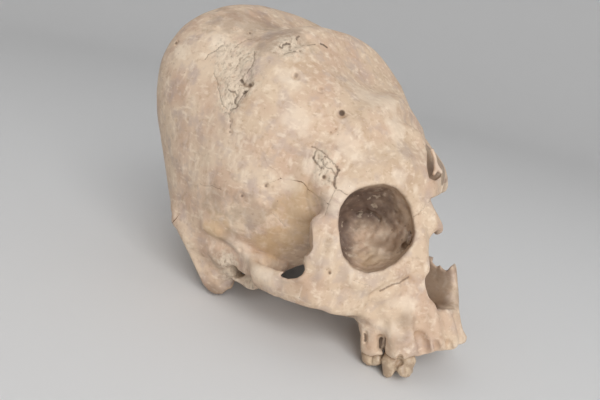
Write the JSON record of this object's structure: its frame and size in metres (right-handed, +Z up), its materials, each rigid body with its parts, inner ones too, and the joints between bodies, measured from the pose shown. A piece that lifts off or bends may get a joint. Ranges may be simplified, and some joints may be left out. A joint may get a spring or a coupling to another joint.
{
  "type": "human cranium",
  "caption": "Aged human cranium without its jaw, tall rounded braincase with a shallow saddle behind the forehead, left cheekbone lost, bones separate along their sutures.",
  "frame": {"origin": "middle of the cranium's outline on the ground it stands on, when it rests on its first molar and the two mastoid processes", "axes": "+X to the skull's left, -Y the way the face looks, +Z up from the ground"},
  "size_m": [0.1472, 0.2004, 0.151],
  "materials": {
    "face_bone": "dry old bone, cream with pink-grey mottling, matt with a faint polish on the brow",
    "vault_bone": "dry old bone, tan and cream patches with small pits and cracks, matt",
    "base_bone": "dry old bone, brown-tan and rougher, with eroded edges, matt",
    "inner_bone": "thin brown inner bone, dusty and matt",
    "tooth": "worn yellowed enamel, satin"
  },
  "bodies": {
    "root": {"frontal_bone": "face_bone", "parietal_bone_right": "vault_bone", "parietal_bone_left": "vault_bone", "occipital_bone": "vault_bone", "temporal_bone_right": "base_bone", "temporal_bone_left": "base_bone", "sphenoid_bone": "base_bone", "ethmoid_bone": "inner_bone", "vomer": "inner_bone", "lacrimal_bone_right": "inner_bone", "palatine_bone_right": "inner_bone", "palatine_bone_left": "inner_bone", "nasal_bone_right": "face_bone", "nasal_bone_left": "face_bone", "zygomatic_bone_right": "face_bone", "maxilla_right": "face_bone", "maxilla_left": "face_bone", "first_molar_right": "tooth", "second_molar_right": "tooth"}
  },
  "joints": []
}
